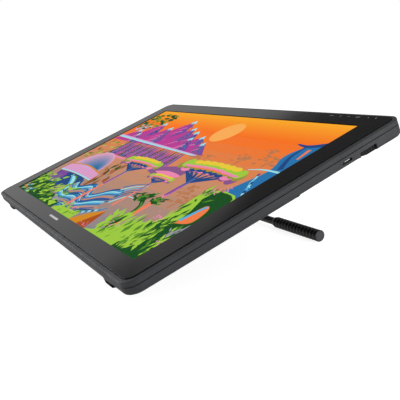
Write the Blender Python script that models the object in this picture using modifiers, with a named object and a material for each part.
"""Pen display drawing tablet on a folding stand, as separate parts.

Units are metres and +Z is up. The tablet is modelled in its own frame, the empty "tablet_frame":
x to the right, y towards the top edge of the screen, z out of the glass, with the origin in the
middle of the screen. That frame is raised at its top edge by SCREEN_TILT, as it stands on a desk.
The stand is modelled in the frame of the empty "stand_pivot", which lies on the stand's hinge.
"""

import math

import bmesh
import bpy
from mathutils import Matrix, Vector

MM = 0.001
GAP = 0.3 * MM

# How it stands
SCREEN_TILT = math.radians(24.27)
REST_POINT_Y = -155.0 * MM
REST_POINT_Z = -21.0 * MM

# Screen: a 21.5 inch 16:9 panel
ACTIVE_X = 476.6 * MM
ACTIVE_Y = 268.1 * MM

# Cover glass
GLASS_HALF_X = 268.4 * MM
GLASS_LOW_Y = -154.7 * MM
GLASS_HIGH_Y = 155.8 * MM
GLASS_THICK = 1.0 * MM
GLASS_CORNER = 9.5 * MM

# Casing outline, measured out from the glass
RIM = 4.7 * MM
BODY_HALF_X = GLASS_HALF_X + RIM
BODY_LOW_Y = GLASS_LOW_Y - RIM
BODY_HIGH_Y = GLASS_HIGH_Y + RIM
BODY_CORNER = GLASS_CORNER + RIM
LIP_GAP = 0.35 * MM
LIP_DROP = 0.75 * MM
RIDGE_INSET = 0.5 * MM
RIDGE_DROP = 1.15 * MM
SIDE_DROP = 1.8 * MM
BEZEL_BOTTOM_Z = -6.5 * MM
WALL = 2.0 * MM
LEDGE = 3.0 * MM
LEDGE_THICK = 1.3 * MM

# Rear cover: a shallow wedge, thicker towards the top edge
COVER_TOP_Z = BEZEL_BOTTOM_Z - GAP
BACK_MID_Z = -16.7 * MM
BACK_SLOPE = 0.010
COVER_EDGE_ROUND = 3.0 * MM

# Cutters for the back start here, below everything on it
BELOW_Z = -30.0 * MM

# Layers behind the glass: how far each one runs past the lit screen at the sides, at the bottom and
# at the top, the z of its front and its thickness
LAYERS = {
    "lcd_cell": (5.2 * MM, 4.95 * MM, 5.45 * MM, -1.25 * MM, 1.2 * MM),
    "diffuser_sheet": (3.7 * MM, 3.45 * MM, 3.95 * MM, -2.75 * MM, 0.35 * MM),
    "light_guide": (3.7 * MM, -0.05 * MM, 3.95 * MM, -3.4 * MM, 1.5 * MM),
    "reflector_sheet": (3.7 * MM, 3.45 * MM, 3.95 * MM, -5.2 * MM, 0.2 * MM),
    "backlight_tray": (5.2 * MM, 4.95 * MM, 5.45 * MM, -5.7 * MM, 0.4 * MM),
    "digitizer_board": (2.7 * MM, 2.95 * MM, 2.95 * MM, -6.4 * MM, 0.5 * MM),
    "shield_plate": (2.7 * MM, -5.05 * MM, 2.95 * MM, -7.2 * MM, 0.2 * MM),
}
LED_STRIP_WIDTH = 2.7 * MM
LED_STRIP_THICK = 1.3 * MM

# Frame that holds the layers and takes the cover screws
MID_FRAME_TOP_Z = -2.9 * MM
MID_FRAME_BOTTOM_Z = -7.2 * MM
MID_FRAME_INSET = 3.6 * MM
MID_FRAME_INNER_X = 248.0 * MM
MID_FRAME_INNER_LOW_Y = -146.5 * MM
MID_FRAME_INNER_HIGH_Y = 142.6 * MM
MID_FRAME_CORNER = 5.0 * MM
COVER_SCREW_SPOTS = (
    (-256.0 * MM, -128.0 * MM),
    (256.0 * MM, -128.0 * MM),
    (-256.0 * MM, 8.0 * MM),
    (256.0 * MM, 8.0 * MM),
    (-256.0 * MM, 134.0 * MM),
    (256.0 * MM, 134.0 * MM),
)
COVER_SCREW_R = 1.35 * MM
COVER_SCREW_HEAD_R = 2.8 * MM
COVER_SCREW_HEAD = 1.0 * MM
COVER_SCREW_SINK = 1.2 * MM
COVER_SCREW_LENGTH = 5.0 * MM
COVER_POST_R = 3.6 * MM

# Cable recess at the back, the port bay in it and the notch in the right side
RECESS_LOW_X = 195.0 * MM
RECESS_LOW_Y = 22.0 * MM
RECESS_HIGH_Y = 100.0 * MM
RECESS_Z = -15.0 * MM
RECESS_RAMP = 4.0 * MM
RECESS_WALL = 2.0 * MM
BAY_X = (208.0 * MM, 250.0 * MM)
BAY_Y = (58.0 * MM, 112.0 * MM)
BAY_Z = -9.3 * MM
BAY_WALL = 1.6 * MM
NOTCH_X = 268.3 * MM
NOTCH_Y = (99.5 * MM, 121.0 * MM)
NOTCH_Z = -10.8 * MM
INSERT_THICK = 2.0 * MM
INSERT_LOW_Z = -17.4 * MM
INSERT_START_Z = -15.5 * MM
INSERT_RAMP = 9.0 * MM

# Blocks on the cover's inside: the thickness over a recess, and how deep they reach into the back wall
BLOCK_FLOOR = 1.5 * MM
BLOCK_SEAT_Z = -16.3 * MM

# Cooling slots in the back
SLOT_COUNT = 12
SLOT_PITCH = 16.0 * MM
SLOT_HALF = 1.2 * MM
SLOT_Y = (112.0 * MM, 134.0 * MM)

# Circuit boards, as x, y and z ranges
BOARDS = {
    "touch_key_board": ((168.0 * MM, 254.0 * MM), (143.5 * MM, 151.2 * MM), (-2.3 * MM, -1.3 * MM)),
    "driver_board": ((-110.0 * MM, 110.0 * MM), (-138.0 * MM, -122.0 * MM), (-9.0 * MM, -8.0 * MM)),
    "main_board": ((-70.0 * MM, 150.0 * MM), (-20.0 * MM, 88.0 * MM), (-9.2 * MM, -8.2 * MM)),
    "port_board": ((204.0 * MM, 247.9 * MM), (114.0 * MM, 140.0 * MM), (-9.0 * MM, -8.0 * MM)),
    "side_port_board": ((254.0 * MM, 269.5 * MM), (72.0 * MM, 94.0 * MM), (-9.0 * MM, -8.0 * MM)),
}
HEAT_SPREADER = ((70.0 * MM, 130.0 * MM), (5.0 * MM, 60.0 * MM), (-11.0 * MM, -9.5 * MM))
HEAT_SPREADER_EDGE = 0.4 * MM

# Ribbon cables, as an x range and a route in y and z
RIBBON_THICK = 0.15 * MM
RIBBONS = {
    "touch_key_flex": ((206.0 * MM, 216.0 * MM), (
        (143.1 * MM, -1.9 * MM), (141.2 * MM, -2.6 * MM), (141.2 * MM, -7.6 * MM), (140.3 * MM, -8.6 * MM))),
    "panel_flex": ((-90.0 * MM, 90.0 * MM), (
        (-139.4 * MM, -1.9 * MM), (-142.0 * MM, -1.9 * MM), (-143.6 * MM, -3.4 * MM),
        (-143.6 * MM, -7.2 * MM), (-142.0 * MM, -8.6 * MM), (-138.4 * MM, -8.6 * MM))),
    "digitizer_ribbon": ((120.0 * MM, 140.0 * MM), (
        (-134.0 * MM, -7.15 * MM), (-131.0 * MM, -7.7 * MM), (-120.0 * MM, -7.75 * MM),
        (-24.0 * MM, -7.75 * MM), (-20.5 * MM, -8.7 * MM))),
}

# Sockets: width and height of each mouth, then shell depth, shell wall, and tongue width and thickness
SIDE_USB_Y = 83.2 * MM
SIDE_USB_Z = -11.1 * MM
SIDE_USB_MOUTH_X = BODY_HALF_X - WALL - GAP
SIDE_USB_HOLE = (12.8 * MM, 2.9 * MM)
USB_SIZE = (9.0 * MM, 3.3 * MM)
USB_SHELL = (9.0 * MM, 0.35 * MM, (6.6 * MM, 0.7 * MM))
HDMI_SIZE = (15.0 * MM, 5.6 * MM)
HDMI_SHELL = (11.0 * MM, 0.5 * MM, (11.0 * MM, 1.0 * MM))
DC_SIZE = (7.4 * MM, 6.0 * MM)
DC_DEPTH = 11.0 * MM
DC_BORE_R = 2.7 * MM
DC_BORE_DEPTH = 8.0 * MM
DC_PIN_R = 0.8 * MM
PORT_Z = -12.4 * MM
PORT_MOUTH_Y = BAY_Y[1] + 0.2 * MM
HDMI_X = 218.5 * MM
REAR_USB_X = 233.0 * MM
DC_X = 243.6 * MM

# Feet: the front pair fills pockets in two bosses, flush with the front of the casing
FOOT_X = 214.5 * MM
FOOT_HALF_X = 9.5 * MM
FOOT_FRONT = 0.3 * MM
FOOT_HEEL = 4.0 * MM
FOOT_HEEL_RISE = 0.9 * MM
FOOT_LENGTH = 14.5 * MM
FOOT_POCKET_Z = -14.6 * MM
BOSS_HALF_X = 11.5 * MM
BOSS_FRONT = 0.4 * MM
BOSS_LENGTH = 17.5 * MM
BOSS_Z = -16.4 * MM
BOSS_SEAT_Z = -13.6 * MM
BOSS_EDGE = 1.0 * MM
REAR_FOOT_X = 213.0 * MM
REAR_FOOT_HALF_X = 15.0 * MM
REAR_FOOT_Y = 137.0 * MM
REAR_FOOT_HALF_Y = 6.0 * MM
REAR_FOOT_TAPER = 1.0 * MM
REAR_FOOT_Z = -22.8 * MM

# Stand mounting pad and plate: a 75 mm square screw pattern
PAD_HALF = 66.0 * MM
PAD_Z = -18.0 * MM
PAD_SEAT_Z = -15.7 * MM
PAD_EDGE = 0.4 * MM
PLATE_HALF_X = 60.0 * MM
PLATE_LOW_Y = -58.0 * MM
PLATE_HIGH_Y = 56.0 * MM
PLATE_THICK = 2.5 * MM
PLATE_CORNER = 8.0 * MM
PLATE_TOP_Z = PAD_Z - GAP
PLATE_BOTTOM_Z = PLATE_TOP_Z - PLATE_THICK
STAND_SCREW_PITCH = 75.0 * MM
STAND_SCREW_R = 2.0 * MM
STAND_SCREW_HEAD_R = 3.8 * MM
STAND_SCREW_HEAD = 1.9 * MM
STAND_SCREW_TIP_Z = -10.5 * MM
STAND_POST_R = 5.0 * MM
STAND_POST_TOP_Z = -9.5 * MM
STAND_SCREW_SPOTS = tuple(
    (x * STAND_SCREW_PITCH / 2.0, y * STAND_SCREW_PITCH / 2.0) for y in (-1, 1) for x in (-1, 1))

# Stand hinge
HINGE_Y = -45.0 * MM
HINGE_Z = -31.5 * MM
EAR_X = (43.0 * MM, 52.0 * MM)
EAR_R = 9.5 * MM
SHAFT_R = 4.0 * MM
SHAFT_BORE = SHAFT_R + GAP
SHAFT_HALF = 56.5 * MM
SHAFT_HEAD_R = 6.5 * MM
SHAFT_HEAD = 3.0 * MM
NUT_THICK = 3.7 * MM
HINGE_CAP_WALL = 1.6 * MM
HINGE_CAP_ROOM = 2.5 * MM
HINGE_CAP_EDGE = 1.5 * MM
BARREL_HALF = 32.7 * MM
BARREL_R = 8.5 * MM
BARREL_BORE = 6.6 * MM
COLLAR_X = (33.0 * MM, 41.6 * MM)
WASHER_X = (41.9 * MM, 42.7 * MM)
WASHER_R = 7.5 * MM
CLUTCH_SPRING_R = 5.3 * MM
CLUTCH_SPRING_WIRE_R = 0.85 * MM
CLUTCH_SPRING_HALF = 28.0 * MM
CLUTCH_SPRING_TURNS = 9.0

# Stand leg, cross rod and grips
LEG_LENGTH = 166.0 * MM
LEG_THICK = 6.4 * MM
LEG_HALF_TOP = 30.0 * MM
LEG_HALF_FOOT = 20.0 * MM
LEG_START = 2.0 * MM
LEG_EDGE = 1.2 * MM
ROD_BOSS_HALF = 23.0 * MM
ROD_BOSS_R = 7.0 * MM
ROD_R = 4.7 * MM
ROD_HALF = 160.7 * MM
GRIP_R = 6.95 * MM
GRIP_X = (71.0 * MM, 163.2 * MM)
GRIP_TAPER = 3.0 * MM
GRIP_NECK_R = 5.5 * MM
END_CAP_R = 6.1 * MM
END_CAP_SINK = 2.2 * MM
END_CAP_PROUD = 0.3 * MM
END_CAP_EDGE = 0.4 * MM

# Release lever
LEVER_ANGLE = math.radians(-20.0)
LEVER_START = 3.0 * MM
LEVER_REACH = 52.0 * MM
LEVER_TAB_Z = (-7.6 * MM, -4.0 * MM)
LEVER_TAB_INSET = 0.5 * MM
LEVER_TAB_CORNER = 1.5 * MM
LEVER_POCKET_R = 6.3 * MM
LEVER_POCKET_DEPTH = 4.8 * MM
LEVER_SPRING_R = 5.25 * MM
LEVER_SPRING_WIRE_R = 0.5 * MM
LEVER_SPRING_ENDS = (0.6 * MM, 4.0 * MM)
LEVER_SPRING_TURNS = 3.0

COLOURS = {
    "glass_black": ((0.012, 0.012, 0.013), 0.12, 0.0),
    "casing": ((0.075, 0.077, 0.085), 0.55, 0.0),
    "rubber_black": ((0.012, 0.012, 0.012), 0.8, 0.0),
    "steel": ((0.50, 0.50, 0.52), 0.35, 1.0),
    "steel_black": ((0.020, 0.020, 0.022), 0.45, 0.4),
    "board_green": ((0.020, 0.12, 0.05), 0.5, 0.0),
    "flex_amber": ((0.45, 0.20, 0.03), 0.45, 0.0),
    "film_white": ((0.80, 0.80, 0.78), 0.4, 0.0),
    "clear_acrylic": ((0.75, 0.80, 0.82), 0.1, 0.0),
    "aluminium": ((0.60, 0.61, 0.62), 0.4, 1.0),
    "cap_grey": ((0.09, 0.09, 0.095), 0.5, 0.0),
}

OUTER_BOX = (-BODY_HALF_X, BODY_HALF_X, BODY_LOW_Y, BODY_HIGH_Y)

# Turns a socket's +x, the way its mouth opens, to the front of the tablet
FACE_FRONT = (0.0, 0.0, math.radians(-90.0))


def back_z(y):
    """Height of the rear cover's outside face at y."""
    return BACK_MID_Z - BACK_SLOPE * y


def leg_angle():
    """Angle from the back of the tablet to the leg, with the grips on the same desk as the feet."""
    def height(y, z):
        return y * math.sin(SCREEN_TILT) + z * math.cos(SCREEN_TILT)

    drop = height(HINGE_Y, HINGE_Z) - height(REST_POINT_Y, REST_POINT_Z) - GRIP_R
    return math.asin(drop / LEG_LENGTH) + SCREEN_TILT


# ---------------------------------------------------------------------------
# Scene, materials and objects


def clear_scene():
    for item in list(bpy.data.objects):
        bpy.data.objects.remove(item, do_unlink=True)


def new_collection(name):
    group = bpy.data.collections.new(name)
    bpy.context.scene.collection.children.link(group)
    return group


def make_material(name):
    colour, roughness, metallic = COLOURS[name]
    material = bpy.data.materials.new(name)
    material.use_nodes = True
    shader = material.node_tree.nodes["Principled BSDF"]
    shader.inputs["Base Color"].default_value = (*colour, 1.0)
    shader.inputs["Roughness"].default_value = roughness
    shader.inputs["Metallic"].default_value = metallic
    return material


def new_empty(name, location, rotation=(0.0, 0.0, 0.0), parent=None):
    empty = bpy.data.objects.new(name, None)
    empty.location = location
    empty.rotation_euler = rotation
    empty.parent = parent
    PARTS.objects.link(empty)
    return empty


def add_part(name, mesh, material, parent):
    """Put a mesh in the parts collection, under an empty, with its material."""
    mesh.name = name
    mesh.materials.clear()
    mesh.materials.append(MATERIALS[material])
    part = bpy.data.objects.new(name, mesh)
    part.parent = parent
    PARTS.objects.link(part)
    return part


def add_tool(name, mesh, parent):
    """Put a cutter or a joining shape in the cutters collection."""
    tool = bpy.data.objects.new(name, mesh)
    tool.parent = parent
    tool.hide_render = True
    tool.display_type = "WIRE"
    CUTTERS.objects.link(tool)
    return tool


def boolean(part, mesh, operation):
    """Cut a shape out of a part, or join it on."""
    name = f"{part.name}_{operation.lower()}_{len(part.modifiers)}"
    modifier = part.modifiers.new(name, "BOOLEAN")
    modifier.operation = operation
    modifier.solver = "EXACT"
    modifier.object = add_tool(name, mesh, part.parent)


def cut(part, mesh):
    boolean(part, mesh, "DIFFERENCE")


def join(part, mesh):
    boolean(part, mesh, "UNION")


def shade_by_angle(mesh, degrees=35.0):
    mesh.shade_smooth()
    mesh.set_sharp_from_angle(angle=math.radians(degrees))


# ---------------------------------------------------------------------------
# Shapes


def finish_mesh(bm, name):
    bmesh.ops.recalc_face_normals(bm, faces=bm.faces)
    return mesh_from(bm, name)


def mesh_from(bm, name):
    mesh = bpy.data.meshes.new(name)
    bm.to_mesh(mesh)
    bm.free()
    shade_by_angle(mesh)
    return mesh


def cube_bmesh(x, y, z):
    """A cube between two x, two y and two z."""
    bm = bmesh.new()
    bmesh.ops.create_cube(bm, size=1.0)
    size = Vector((x[1] - x[0], y[1] - y[0], z[1] - z[0]))
    middle = Vector((x[1] + x[0], y[1] + y[0], z[1] + z[0])) / 2.0
    bmesh.ops.scale(bm, vec=size, verts=bm.verts)
    bmesh.ops.translate(bm, vec=middle, verts=bm.verts)
    return bm


def edges_along(bm, axis):
    """The edges of a box that run along axis 0, 1 or 2."""
    found = []
    for edge in bm.edges:
        span = edge.verts[0].co - edge.verts[1].co
        if abs(span[axis]) > 0.99 * span.length:
            found.append(edge)
    return found


def round_edges(bm, edges, radius, segments):
    bmesh.ops.bevel(bm, geom=edges, offset=radius, segments=segments, profile=0.5, affect="EDGES")


def box(x, y, z, bevel=0.0):
    bm = cube_bmesh(x, y, z)
    if bevel:
        round_edges(bm, list(bm.edges), bevel, 1)
    return finish_mesh(bm, "box")


def plate(x, y, z, corner, segments=4, axis=2):
    """A flat plate or bar with the corners about one axis rounded."""
    bm = cube_bmesh(x, y, z)
    round_edges(bm, edges_along(bm, axis), corner, segments)
    return finish_mesh(bm, "plate")


def rod(x, y, z, radius, segments=20):
    """A cylinder along x, between x[0] and x[1]."""
    bm = bmesh.new()
    bmesh.ops.create_cone(bm, cap_ends=True, segments=segments, radius1=radius, radius2=radius,
                          depth=x[1] - x[0])
    turn = Matrix.Rotation(math.pi / 2.0, 4, "Y")
    move = Matrix.Translation(((x[0] + x[1]) / 2.0, y, z))
    bmesh.ops.transform(bm, matrix=move @ turn, verts=bm.verts)
    return finish_mesh(bm, "rod")


def post(x, y, z, radius, segments=16):
    """A cylinder along z, between z[0] and z[1]."""
    bm = bmesh.new()
    bmesh.ops.create_cone(bm, cap_ends=True, segments=segments, radius1=radius, radius2=radius,
                          depth=z[1] - z[0])
    bmesh.ops.translate(bm, vec=(x, y, (z[0] + z[1]) / 2.0), verts=bm.verts)
    return finish_mesh(bm, "post")


def prism(points, x):
    """A yz outline carried along x, between x[0] and x[1]."""
    bm = bmesh.new()
    corners = [bm.verts.new((x[0], y, z)) for y, z in points]
    face = bm.faces.new(corners)
    swept = bmesh.ops.extrude_face_region(bm, geom=[face])
    moved = [item for item in swept["geom"] if isinstance(item, bmesh.types.BMVert)]
    bmesh.ops.translate(bm, vec=(x[1] - x[0], 0.0, 0.0), verts=moved)
    return finish_mesh(bm, "prism")


def turned_about_x(name, profile, material, parent, steps=20, mirror=False):
    """A part turned about the x axis of its parent. The profile is a list of (x, radius)."""
    side = -1.0 if mirror else 1.0
    mesh = bpy.data.meshes.new(name)
    points = [(radius, 0.0, along) for along, radius in profile]
    ends = [(i, i + 1) for i in range(len(points) - 1)]
    if profile[0][1] > 0.0:
        ends.append((len(points) - 1, 0))
    mesh.from_pydata(points, ends, [])
    part = add_part(name, mesh, material, parent)
    part.rotation_euler = (0.0, side * math.pi / 2.0, 0.0)
    screw = part.modifiers.new("turn", "SCREW")
    screw.steps = steps
    screw.render_steps = steps
    screw.use_merge_vertices = True
    screw.merge_threshold = 0.01 * MM
    return part


def ribbon(x, points):
    """A bent ribbon cable: a yz path carried along x and given a thickness."""
    bm = bmesh.new()
    path = [bm.verts.new((x[0], y, z)) for y, z in points]
    edges = [bm.edges.new(pair) for pair in zip(path, path[1:])]
    swept = bmesh.ops.extrude_edge_only(bm, edges=edges)
    moved = [item for item in swept["geom"] if isinstance(item, bmesh.types.BMVert)]
    bmesh.ops.translate(bm, vec=(x[1] - x[0], 0.0, 0.0), verts=moved)
    bmesh.ops.recalc_face_normals(bm, faces=bm.faces)
    bmesh.ops.solidify(bm, geom=bm.faces[:], thickness=RIBBON_THICK)
    return finish_mesh(bm, "ribbon")


def coil(name, mean_radius, wire_radius, x, turns, material, parent):
    """A coil spring about the x axis of its parent."""
    points_per_turn = 9
    count = int(turns * points_per_turn) + 1
    curve = bpy.data.curves.new(name, "CURVE")
    curve.dimensions = "3D"
    curve.bevel_depth = wire_radius
    curve.bevel_resolution = 1
    curve.use_fill_caps = True
    spline = curve.splines.new("POLY")
    spline.points.add(count - 1)
    for i, point in enumerate(spline.points):
        angle = 2.0 * math.pi * i / points_per_turn
        along = x[0] + (x[1] - x[0]) * i / (count - 1)
        point.co = (along, mean_radius * math.cos(angle), mean_radius * math.sin(angle), 1.0)
    curve.materials.append(MATERIALS[material])
    spring = bpy.data.objects.new(name, curve)
    spring.parent = parent
    PARTS.objects.link(spring)
    return spring


def socket(name, size, mouth, shell_build, parent):
    """A socket shell that opens along +x of its parent, at x = mouth, with a contact tongue inside."""
    depth, wall, tongue = shell_build
    half_w, half_h = size[0] / 2.0, size[1] / 2.0
    inner_w, inner_h = half_w - wall, half_h - wall
    back = mouth - depth
    corner = min(half_h * 0.95, 1.5 * MM)
    outside = plate((back, mouth), (-half_w, half_w), (-half_h, half_h), corner, 3, 0)
    shell = add_part(name, outside, "steel", parent)
    corner = min(inner_h * 0.95, 1.2 * MM)
    cut(shell, plate((back + 2.0 * MM, mouth + MM), (-inner_w, inner_w), (-inner_h, inner_h), corner, 3, 0))
    half_w, half_h = tongue[0] / 2.0, tongue[1] / 2.0
    join(shell, box((back + MM, mouth - 1.2 * MM), (-half_w, half_w), (-half_h, half_h)))


# ---------------------------------------------------------------------------
# Screen and casing


def build_glass(frame):
    add_part("cover_glass", glass_outline(0.0, (-GLASS_THICK, 0.0)), "glass_black", frame)


def build_layers(frame):
    looks = {
        "lcd_cell": "glass_black",
        "diffuser_sheet": "film_white",
        "light_guide": "clear_acrylic",
        "reflector_sheet": "film_white",
        "backlight_tray": "steel",
        "digitizer_board": "board_green",
        "shield_plate": "steel",
    }
    half_x, half_y = ACTIVE_X / 2.0, ACTIVE_Y / 2.0
    for name, (past_side, past_low, past_high, top, thick) in LAYERS.items():
        x = (-half_x - past_side, half_x + past_side)
        y = (-half_y - past_low, half_y + past_high)
        add_part(name, box(x, y, (top - thick, top)), looks[name], frame)
    _, past_low, _, guide_top, guide_thick = LAYERS["light_guide"]
    led_high_y = -half_y - past_low - GAP
    led_top = guide_top - (guide_thick - LED_STRIP_THICK) / 2.0
    led_y = (led_high_y - LED_STRIP_WIDTH, led_high_y)
    led = box((-half_x, half_x), led_y, (led_top - LED_STRIP_THICK, led_top))
    add_part("led_strip", led, "film_white", frame)


def build_bezel(frame):
    """A slab that slopes up to a lip below the glass's front, hollowed for what it holds."""
    bm = cube_bmesh(OUTER_BOX[:2], OUTER_BOX[2:], (BEZEL_BOTTOM_Z, -SIDE_DROP))
    round_edges(bm, edges_along(bm, 2), BODY_CORNER, 5)
    top = max(bm.faces, key=lambda face: face.calc_center_median().z)
    ridge = (RIDGE_INSET, SIDE_DROP - RIDGE_DROP)
    lip = (RIM - RIDGE_INSET - LIP_GAP, RIDGE_DROP - LIP_DROP)
    for inset, rise in (ridge, lip):
        bmesh.ops.inset_region(bm, faces=[top], thickness=inset, use_even_offset=True)
        bmesh.ops.translate(bm, vec=(0.0, 0.0, rise), verts=top.verts)
    bezel = add_part("front_bezel", finish_mesh(bm, "bezel"), "casing", frame)

    ledge_top = -(GLASS_THICK + GAP)
    cut(bezel, glass_outline(LIP_GAP, (ledge_top, MM)))
    cut(bezel, glass_outline(-LEDGE, (BELOW_Z, MM)))
    cut(bezel, glass_outline(RIM - WALL, (BELOW_Z, ledge_top - LEDGE_THICK)))


def glass_outline(out, z):
    """A plate whose outline lies a distance out from the cover glass."""
    x = (-GLASS_HALF_X - out, GLASS_HALF_X + out)
    return plate(x, (GLASS_LOW_Y - out, GLASS_HIGH_Y + out), z, GLASS_CORNER + out, 5)


def build_mid_frame(frame):
    half_x = GLASS_HALF_X - MID_FRAME_INSET
    low_y = GLASS_LOW_Y + MID_FRAME_INSET
    high_y = GLASS_HIGH_Y - MID_FRAME_INSET
    z = (MID_FRAME_BOTTOM_Z, MID_FRAME_TOP_Z)
    slab = plate((-half_x, half_x), (low_y, high_y), z, MID_FRAME_CORNER, 3)
    ring = add_part("mid_frame", slab, "casing", frame)
    cut(ring, box((-MID_FRAME_INNER_X, MID_FRAME_INNER_X), (MID_FRAME_INNER_LOW_Y, MID_FRAME_INNER_HIGH_Y),
                  (BELOW_Z, 0.0)))
    for x, y in COVER_SCREW_SPOTS:
        foot_z = back_z(y) + WALL + GAP
        join(ring, post(x, y, (foot_z, MID_FRAME_BOTTOM_Z + MM), COVER_POST_R, 12))
    for x, y in COVER_SCREW_SPOTS:
        cut(ring, post(x, y, (BELOW_Z, MID_FRAME_BOTTOM_Z), COVER_SCREW_R + GAP, 10))


def cover_shell():
    """The rear cover's outside surface, open at the front."""
    bm = cube_bmesh(OUTER_BOX[:2], OUTER_BOX[2:], (BACK_MID_Z, COVER_TOP_Z))
    for vertex in bm.verts:
        if vertex.co.z < COVER_TOP_Z - MM:
            vertex.co.z = back_z(vertex.co.y)
    round_edges(bm, edges_along(bm, 2), BODY_CORNER, 5)
    back = min(bm.faces, key=lambda face: face.calc_center_median().z)
    round_edges(bm, list(back.edges), COVER_EDGE_ROUND, 2)
    front = max(bm.faces, key=lambda face: face.calc_center_median().z)
    bmesh.ops.delete(bm, geom=[front], context="FACES_ONLY")
    return mesh_from(bm, "cover_shell")


def build_rear_cover(frame):
    cover = add_part("rear_cover", cover_shell(), "casing", frame)
    shell = cover.modifiers.new("wall", "SOLIDIFY")
    shell.thickness = WALL
    shell.offset = -1.0
    shell.use_even_offset = True

    add_cover_blocks(cover)
    cut_cover_recesses(cover)
    cut_cover_holes(cover)


def add_cover_blocks(cover):
    """Material that the recesses, feet, stand and screws need."""
    inside_x = BODY_HALF_X - WALL / 2.0
    join(cover, box((RECESS_LOW_X - RECESS_WALL, inside_x),
                    (RECESS_LOW_Y - RECESS_WALL, RECESS_HIGH_Y + RECESS_RAMP),
                    (BLOCK_SEAT_Z, RECESS_Z + BLOCK_FLOOR)))
    join(cover, box((BAY_X[0] - BAY_WALL, BAY_X[1] + BAY_WALL), (BAY_Y[0] - BAY_WALL, BAY_Y[1] + BAY_WALL),
                    (BLOCK_SEAT_Z, BAY_Z + BLOCK_FLOOR)))
    join(cover, box((NOTCH_X - RECESS_WALL, inside_x), (NOTCH_Y[0] - RECESS_WALL, NOTCH_Y[1] + RECESS_WALL),
                    (BLOCK_SEAT_Z, NOTCH_Z + BLOCK_FLOOR)))
    join(cover, box((-PAD_HALF, PAD_HALF), (-PAD_HALF, PAD_HALF), (PAD_Z, PAD_SEAT_Z), PAD_EDGE))
    boss_y = (BODY_LOW_Y + BOSS_FRONT, BODY_LOW_Y + BOSS_LENGTH)
    for foot_x in (-FOOT_X, FOOT_X):
        boss_x = (foot_x - BOSS_HALF_X, foot_x + BOSS_HALF_X)
        join(cover, box(boss_x, boss_y, (BOSS_Z, BOSS_SEAT_Z), BOSS_EDGE))
    for x, y in STAND_SCREW_SPOTS:
        join(cover, post(x, y, (BLOCK_SEAT_Z, STAND_POST_TOP_Z), STAND_POST_R, 12))


def cut_cover_recesses(cover):
    """The cable recess with its ramped ends, the port bay, the side notch and the feet's pockets."""
    outside = BODY_HALF_X + WALL
    past_back = 0.7 * MM
    ramp_end = RECESS_HIGH_Y + 3.0 * RECESS_RAMP
    outline = (
        (RECESS_LOW_Y, BELOW_Z),
        (RECESS_LOW_Y, back_z(RECESS_LOW_Y) - past_back),
        (RECESS_LOW_Y + RECESS_RAMP / 2.0, RECESS_Z),
        (RECESS_HIGH_Y - RECESS_RAMP, RECESS_Z),
        (ramp_end, back_z(RECESS_HIGH_Y) - past_back),
        (ramp_end, BELOW_Z),
    )
    cut(cover, prism(outline, (RECESS_LOW_X, outside)))
    cut(cover, box(BAY_X, BAY_Y, (BELOW_Z, BAY_Z)))
    cut(cover, box((NOTCH_X, outside), NOTCH_Y, (BELOW_Z, NOTCH_Z)))
    half_x = FOOT_HALF_X + GAP
    pocket_y = (BODY_LOW_Y - WALL, BODY_LOW_Y + FOOT_LENGTH + GAP)
    for foot_x in (-FOOT_X, FOOT_X):
        cut(cover, box((foot_x - half_x, foot_x + half_x), pocket_y, (BELOW_Z, FOOT_POCKET_Z)))


def cut_cover_holes(cover):
    """Socket windows, screw holes and cooling slots."""
    half_w, half_h = SIDE_USB_HOLE[0] / 2.0, SIDE_USB_HOLE[1] / 2.0
    cut(cover, plate((BODY_HALF_X - 2.0 * WALL, BODY_HALF_X + WALL),
                     (SIDE_USB_Y - half_w, SIDE_USB_Y + half_w),
                     (SIDE_USB_Z - half_h, SIDE_USB_Z + half_h), half_h * 0.96, 4, 0))
    window_y = (BAY_Y[1] - MM, BAY_Y[1] + BAY_WALL + MM)
    for x, (width, height) in ((HDMI_X, HDMI_SIZE), (REAR_USB_X, USB_SIZE), (DC_X, DC_SIZE)):
        half_w = width / 2.0 + GAP
        half_h = height / 2.0 + GAP
        cut(cover, box((x - half_w, x + half_w), window_y, (PORT_Z - half_h, PORT_Z + half_h)))
    for x, y in STAND_SCREW_SPOTS:
        cut(cover, post(x, y, (BELOW_Z, COVER_TOP_Z), STAND_SCREW_R + GAP, 12))
    for x, y in COVER_SCREW_SPOTS:
        cut(cover, post(x, y, (BELOW_Z, back_z(y) + COVER_SCREW_SINK), COVER_SCREW_HEAD_R + GAP, 12))
        cut(cover, post(x, y, (BELOW_Z, back_z(y) + 2.0 * WALL), COVER_SCREW_R + GAP, 10))
    for i in range(SLOT_COUNT):
        x = (i - (SLOT_COUNT - 1) / 2.0) * SLOT_PITCH
        cut(cover, box((x - SLOT_HALF, x + SLOT_HALF), SLOT_Y, (BELOW_Z, BACK_MID_Z + 2.0 * WALL)))


def build_cover_screws(frame):
    for number, (x, y) in enumerate(COVER_SCREW_SPOTS, 1):
        head_z = back_z(y) + COVER_SCREW_SINK - GAP / 2.0
        screw = add_screw(f"cover_screw_{number}", COVER_SCREW_R, COVER_SCREW_HEAD_R, COVER_SCREW_HEAD,
                          COVER_SCREW_LENGTH, frame)
        screw.location = (x, y, head_z)


def add_screw(name, shank_r, head_r, head, length, parent):
    """A screw whose head hangs below z = 0 and whose shank stands above it."""
    profile = ((length, 0.0), (length, shank_r), (0.0, shank_r), (0.0, head_r), (-head, head_r * 0.9),
               (-head, 0.0))
    mesh = bpy.data.meshes.new(name)
    points = [(radius, 0.0, z) for z, radius in profile]
    mesh.from_pydata(points, [(i, i + 1) for i in range(len(points) - 1)], [])
    part = add_part(name, mesh, "steel_black", parent)
    screw = part.modifiers.new("turn", "SCREW")
    screw.steps = 12
    screw.render_steps = 12
    screw.use_merge_vertices = True
    screw.merge_threshold = 0.01 * MM
    return part


# ---------------------------------------------------------------------------
# Boards, ribbons and sockets


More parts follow.
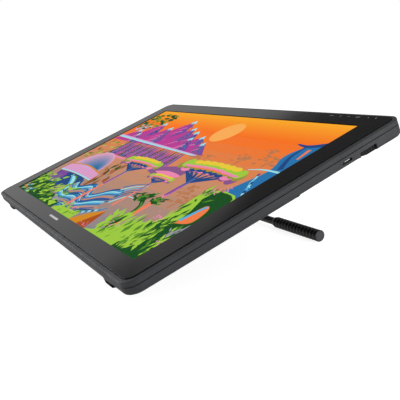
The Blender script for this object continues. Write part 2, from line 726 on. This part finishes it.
def build_electronics(frame):
    boards = {name: add_part(name, box(*ranges), "board_green", frame) for name, ranges in BOARDS.items()}
    for x, y in STAND_SCREW_SPOTS:
        if y > 0.0:
            cut(boards["main_board"], post(x, y, (BELOW_Z, 0.0), STAND_POST_R + MM, 12))
    add_part("heat_spreader", box(*HEAT_SPREADER, HEAT_SPREADER_EDGE), "aluminium", frame)
    for name, (x, route) in RIBBONS.items():
        add_part(name, ribbon(x, route), "flex_amber", frame)


def build_sockets(frame):
    side = new_empty("side_usb_place", (0.0, SIDE_USB_Y, SIDE_USB_Z), parent=frame)
    socket("side_usb_c_socket", USB_SIZE, SIDE_USB_MOUTH_X, USB_SHELL, side)
    for name, x, size, shell in (("hdmi_socket", HDMI_X, HDMI_SIZE, HDMI_SHELL),
                                 ("rear_usb_c_socket", REAR_USB_X, USB_SIZE, USB_SHELL)):
        place = new_empty(f"{name}_place", (x, PORT_MOUTH_Y, PORT_Z), FACE_FRONT, frame)
        socket(name, size, 0.0, shell, place)
    build_dc_jack(new_empty("dc_jack_place", (DC_X, PORT_MOUTH_Y, PORT_Z), FACE_FRONT, frame))


def build_dc_jack(place):
    """A block that opens along +x of its place, with a round bore and a centre pin."""
    half_w, half_h = DC_SIZE[0] / 2.0, DC_SIZE[1] / 2.0
    block = box((-DC_DEPTH, 0.0), (-half_w, half_w), (-half_h, half_h))
    jack = add_part("dc_jack", block, "rubber_black", place)
    cut(jack, rod((-DC_BORE_DEPTH, MM), 0.0, 0.0, DC_BORE_R, 16))
    join(jack, rod((-DC_BORE_DEPTH - MM, -MM), 0.0, 0.0, DC_PIN_R, 10))


def build_notch_insert(frame):
    x = (NOTCH_X + GAP, NOTCH_X + GAP + INSERT_THICK)
    y = (NOTCH_Y[0] + GAP, NOTCH_Y[1] - GAP)
    top = NOTCH_Z - GAP
    outline = (
        (y[0], top),
        (y[0], INSERT_START_Z),
        (y[0] + INSERT_RAMP, INSERT_LOW_Z),
        (y[1], INSERT_LOW_Z),
        (y[1], top),
    )
    add_part("side_notch_insert", prism(outline, x), "rubber_black", frame)


# ---------------------------------------------------------------------------
# Feet


def build_feet(frame):
    """Rubber feet. The front pair has a facet that lies flat on the desk at rest."""
    def sole_z(y):
        return REST_POINT_Z - math.tan(SCREEN_TILT) * (y - REST_POINT_Y)

    top = FOOT_POCKET_Z - GAP
    front_y = BODY_LOW_Y + FOOT_FRONT
    heel_y = REST_POINT_Y + FOOT_HEEL
    back_y = BODY_LOW_Y + FOOT_LENGTH
    front_outline = (
        (front_y, top),
        (front_y, sole_z(front_y)),
        (heel_y, sole_z(heel_y)),
        (heel_y + (back_y - heel_y) / 2.0, sole_z(heel_y) + FOOT_HEEL_RISE),
        (back_y, top),
    )
    low_y, high_y = REAR_FOOT_Y - REAR_FOOT_HALF_Y, REAR_FOOT_Y + REAR_FOOT_HALF_Y
    rear_top = back_z(high_y) - GAP
    rear_outline = (
        (low_y, rear_top),
        (low_y + REAR_FOOT_TAPER, REAR_FOOT_Z),
        (high_y - REAR_FOOT_TAPER, REAR_FOOT_Z),
        (high_y, rear_top),
    )
    for side, label in ((-1.0, "left"), (1.0, "right")):
        front_x = (side * FOOT_X - FOOT_HALF_X, side * FOOT_X + FOOT_HALF_X)
        rear_x = (side * REAR_FOOT_X - REAR_FOOT_HALF_X, side * REAR_FOOT_X + REAR_FOOT_HALF_X)
        add_part(f"front_foot_{label}", prism(front_outline, front_x), "rubber_black", frame)
        add_part(f"rear_foot_{label}", prism(rear_outline, rear_x), "rubber_black", frame)


# ---------------------------------------------------------------------------
# Stand


def build_base_plate(frame):
    plate_z = (PLATE_BOTTOM_Z, PLATE_TOP_Z)
    slab = plate((-PLATE_HALF_X, PLATE_HALF_X), (PLATE_LOW_Y, PLATE_HIGH_Y), plate_z, PLATE_CORNER, 4)
    base = add_part("stand_base_plate", slab, "steel_black", frame)
    for side in (-1.0, 1.0):
        x = sorted((side * EAR_X[0], side * EAR_X[1]))
        join(base, box(x, (HINGE_Y - EAR_R, HINGE_Y + EAR_R), (HINGE_Z, PLATE_BOTTOM_Z + MM)))
        join(base, rod(x, HINGE_Y, HINGE_Z, EAR_R, 24))
    for side in (-1.0, 1.0):
        x = sorted((side * (EAR_X[0] - MM), side * (EAR_X[1] + MM)))
        cut(base, rod(x, HINGE_Y, HINGE_Z, SHAFT_BORE, 20))
    length = STAND_SCREW_TIP_Z - PLATE_BOTTOM_Z
    for number, (x, y) in enumerate(STAND_SCREW_SPOTS, 1):
        cut(base, post(x, y, (PLATE_BOTTOM_Z - MM, PLATE_TOP_Z + MM), STAND_SCREW_R + GAP, 12))
        screw = add_screw(f"stand_screw_{number}", STAND_SCREW_R, STAND_SCREW_HEAD_R, STAND_SCREW_HEAD,
                          length, frame)
        screw.location = (x, y, PLATE_BOTTOM_Z - GAP / 3.0)


def build_hinge(hinge):
    """Shaft, nut, washers, bush and caps, which stay with the base plate."""
    head = SHAFT_HALF - SHAFT_HEAD
    shaft = ((SHAFT_HALF, 0.0), (SHAFT_HALF, SHAFT_R), (-head, SHAFT_R), (-head, SHAFT_HEAD_R),
             (-SHAFT_HALF, SHAFT_HEAD_R), (-SHAFT_HALF, 0.0))
    turned_about_x("hinge_shaft", shaft, "steel", hinge)
    near = EAR_X[1] + GAP
    nut = add_part("shaft_nut", rod((near, near + NUT_THICK), 0.0, 0.0, SHAFT_HEAD_R, 6), "steel", hinge)
    cut(nut, rod((near - MM, near + NUT_THICK + MM), 0.0, 0.0, SHAFT_BORE, 20))
    turned_about_x("hinge_bush", ring_profile(COLLAR_X, BARREL_R, SHAFT_BORE), "steel_black", hinge, 24)

    far = SHAFT_HALF + HINGE_CAP_ROOM
    inner_r = EAR_R - HINGE_CAP_WALL
    cup = ((far, 0.0), (far, EAR_R - HINGE_CAP_EDGE), (far - HINGE_CAP_EDGE, EAR_R), (near, EAR_R),
           (near, inner_r), (far - HINGE_CAP_WALL, inner_r), (far - HINGE_CAP_WALL, 0.0))
    washer = ring_profile(WASHER_X, WASHER_R, SHAFT_BORE)
    for mirror, label in ((True, "left"), (False, "right")):
        turned_about_x(f"friction_washer_{label}", washer, "steel", hinge, 20, mirror)
        turned_about_x(f"hinge_cap_{label}", cup, "casing", hinge, 24, mirror)


def ring_profile(x, outer, inner):
    return ((x[1], outer), (x[0], outer), (x[0], inner), (x[1], inner))


def build_leg(pivot):
    """The leg casting: barrel, tapered plate and the boss that holds the cross rod."""
    barrel = rod((-BARREL_HALF, BARREL_HALF), 0.0, 0.0, BARREL_R, 24)
    leg = add_part("stand_leg", barrel, "steel_black", pivot)
    half_thick = LEG_THICK / 2.0
    bm = cube_bmesh((-LEG_HALF_TOP, LEG_HALF_TOP), (LEG_START, LEG_LENGTH), (-half_thick, half_thick))
    side_edges = edges_along(bm, 1)
    for vertex in bm.verts:
        if vertex.co.y > LEG_LENGTH / 2.0:
            vertex.co.x *= LEG_HALF_FOOT / LEG_HALF_TOP
    round_edges(bm, side_edges, LEG_EDGE, 2)
    join(leg, finish_mesh(bm, "leg_plate"))
    join(leg, rod((-ROD_BOSS_HALF, ROD_BOSS_HALF), LEG_LENGTH, 0.0, ROD_BOSS_R, 20))
    cut(leg, rod((-BARREL_HALF - MM, BARREL_HALF + MM), 0.0, 0.0, BARREL_BORE, 24))
    cut(leg, rod((-ROD_BOSS_HALF - MM, ROD_BOSS_HALF + MM), LEG_LENGTH, 0.0, ROD_R + GAP, 20))
    coil("clutch_spring", CLUTCH_SPRING_R, CLUTCH_SPRING_WIRE_R, (-CLUTCH_SPRING_HALF, CLUTCH_SPRING_HALF),
         CLUTCH_SPRING_TURNS, "steel", pivot)


def build_cross_rod(pivot):
    """The rod through the leg's boss, with a grip on each side and a cap let into the end of each grip."""
    add_part("cross_rod", rod((-ROD_HALF, ROD_HALF), LEG_LENGTH, 0.0, ROD_R, 20), "steel_black", pivot)
    bore = ROD_R + GAP
    pocket = END_CAP_R + GAP
    pocket_x = GRIP_X[1] - END_CAP_SINK
    sleeve = (
        (GRIP_X[1], pocket),
        (GRIP_X[1], GRIP_R),
        (GRIP_X[0] + GRIP_TAPER, GRIP_R),
        (GRIP_X[0], GRIP_NECK_R),
        (GRIP_X[0], bore),
        (pocket_x, bore),
        (pocket_x, pocket),
    )
    near = pocket_x + GAP
    far = GRIP_X[1] + END_CAP_PROUD
    cap = ((far, 0.0), (far, END_CAP_R - END_CAP_EDGE), (far - END_CAP_EDGE, END_CAP_R), (near, END_CAP_R),
           (near, 0.0))
    rod_axis = new_empty("rod_axis", (0.0, LEG_LENGTH, 0.0), parent=pivot)
    for mirror, label in ((True, "left"), (False, "right")):
        turned_about_x(f"grip_{label}", sleeve, "rubber_black", rod_axis, 32, mirror)
        turned_about_x(f"end_cap_{label}", cap, "cap_grey", rod_axis, 32, mirror)


def build_release_lever(pivot):
    """A ring on the shaft with a finger tab, and its return spring in the ring's counterbore."""
    lever = new_empty("lever_pivot", (0.0, 0.0, 0.0), (LEVER_ANGLE, 0.0, 0.0), pivot)
    x = (-COLLAR_X[1], -COLLAR_X[0])
    ring = add_part("release_lever", rod(x, 0.0, 0.0, BARREL_R, 24), "casing", lever)
    tab_x = (x[0] + LEVER_TAB_INSET, x[1] - LEVER_TAB_INSET)
    join(ring, plate(tab_x, (LEVER_START, LEVER_REACH), LEVER_TAB_Z, LEVER_TAB_CORNER, 2))
    cut(ring, rod((x[0] - MM, x[1] + MM), 0.0, 0.0, SHAFT_BORE, 20))
    cut(ring, rod((x[0] - MM, x[0] + LEVER_POCKET_DEPTH), 0.0, 0.0, LEVER_POCKET_R, 20))
    spring_x = (x[0] + LEVER_SPRING_ENDS[0], x[0] + LEVER_SPRING_ENDS[1])
    coil("lever_spring", LEVER_SPRING_R, LEVER_SPRING_WIRE_R, spring_x, LEVER_SPRING_TURNS, "steel", pivot)


# ---------------------------------------------------------------------------
# Whole object


def stand_on_desk(frame):
    """Centre the object over the origin, with its lowest point at z = 0."""
    bpy.context.view_layer.update()
    depsgraph = bpy.context.evaluated_depsgraph_get()
    low = Vector((math.inf,) * 3)
    high = Vector((-math.inf,) * 3)
    for part in PARTS.objects:
        if part.type == "EMPTY":
            continue
        mesh = part.evaluated_get(depsgraph).to_mesh()
        for vertex in mesh.vertices:
            place = part.matrix_world @ vertex.co
            low = Vector(map(min, low, place))
            high = Vector(map(max, high, place))
        part.evaluated_get(depsgraph).to_mesh_clear()
    frame.location -= Vector((0.0, (low.y + high.y) / 2.0, low.z))


def build_tablet():
    frame = new_empty("tablet_frame", (0.0, 0.0, 0.0), (SCREEN_TILT, 0.0, 0.0))
    hinge = new_empty("hinge_axis", (0.0, HINGE_Y, HINGE_Z), parent=frame)
    pivot = new_empty("stand_pivot", (0.0, HINGE_Y, HINGE_Z), (-leg_angle(), 0.0, 0.0), frame)
    build_glass(frame)
    build_layers(frame)
    build_bezel(frame)
    build_mid_frame(frame)
    build_rear_cover(frame)
    build_cover_screws(frame)
    build_electronics(frame)
    build_sockets(frame)
    build_notch_insert(frame)
    build_feet(frame)
    build_base_plate(frame)
    build_hinge(hinge)
    build_leg(pivot)
    build_cross_rod(pivot)
    build_release_lever(pivot)
    stand_on_desk(frame)


clear_scene()
PARTS = new_collection("pen_drawing_tablet")
CUTTERS = new_collection("cutters")
MATERIALS = {name: make_material(name) for name in COLOURS}
build_tablet()
